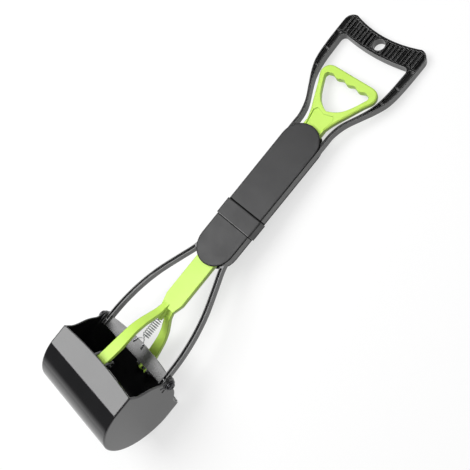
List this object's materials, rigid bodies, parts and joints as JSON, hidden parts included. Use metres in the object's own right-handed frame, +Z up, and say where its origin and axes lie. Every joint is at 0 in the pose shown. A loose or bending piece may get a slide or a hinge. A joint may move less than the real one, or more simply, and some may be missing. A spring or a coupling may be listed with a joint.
{
  "type": "clamshell pet waste scooper",
  "caption": "Long-handled clamshell scooper: nested bucket jaws on a forked shaft, opened by a sliding pull handle and shut by a spring.",
  "frame": {"origin": "centre of the footprint, on the surface that the tool lies on", "axes": "+X towards the hand grip along the tool, +Y to the tool's left, +Z up out of the front of the shaft; the tool lies on its back, on the rear jaw's rim and the end of the grip, so the shaft slopes down 6.0 degrees towards the grip"},
  "size_m": [0.5978, 0.143, 0.1221],
  "materials": {
    "frame_black": "satin moulded black",
    "cover_black": "fine matte texture, dark grey",
    "jaw_black": "polished black",
    "lime": "semi-gloss lime green",
    "steel": "bright zinc-plated",
    "dark_steel": "black-oxide"
  },
  "bodies": {
    "frame": {"upper_frame": "frame_black", "lower_frame": "frame_black", "upper_front_cover": "cover_black", "upper_back_cover": "cover_black", "lower_front_cover": "cover_black", "lower_back_cover": "cover_black", "joining_band": "cover_black", "housing_screw_1": "dark_steel", "housing_screw_2": "dark_steel", "housing_screw_3": "dark_steel", "housing_screw_4": "dark_steel", "housing_screw_5": "dark_steel", "housing_screw_6": "dark_steel", "band_screw_left": "dark_steel", "band_screw_right": "dark_steel", "pivot_washer_left": "dark_steel", "pivot_washer_right": "dark_steel", "pivot_screw_left": "dark_steel", "pivot_screw_right": "dark_steel", "spring_staple": "steel", "return_spring": "steel"},
    "pull_rod": {"pull_handle": "lime", "fork_rod": "lime", "rod_link_pin": "steel", "front_arm_pin": "dark_steel", "rear_arm_pin": "dark_steel"},
    "front_jaw": {"front_jaw": "jaw_black"},
    "rear_jaw": {"rear_jaw": "jaw_black"}
  },
  "joints": [
    {"name": "pull_slide", "type": "slide", "parent": "frame", "child": "pull_rod", "axis": [0.9945, 0, -0.1047], "range_m": [0, 0.03], "stiffness_N_per_m": 300, "springref_m": -0.02, "deforming": ["return_spring"]},
    {"name": "front_jaw_pivot", "type": "hinge", "parent": "frame", "child": "front_jaw", "pos_m": [-0.19459, 0, 0.05727], "axis": [0, 1, 0], "range_deg": [0, 33.3]},
    {"name": "rear_jaw_pivot", "type": "hinge", "parent": "frame", "child": "rear_jaw", "pos_m": [-0.19459, 0, 0.05727], "axis": [0, -1, 0], "range_deg": [0, 33.3]}
  ],
  "couplings": [
    {"joint": "front_jaw_pivot", "follows": "pull_slide", "rad_per_m": 19.37},
    {"joint": "rear_jaw_pivot", "follows": "pull_slide", "rad_per_m": 19.37}
  ]
}
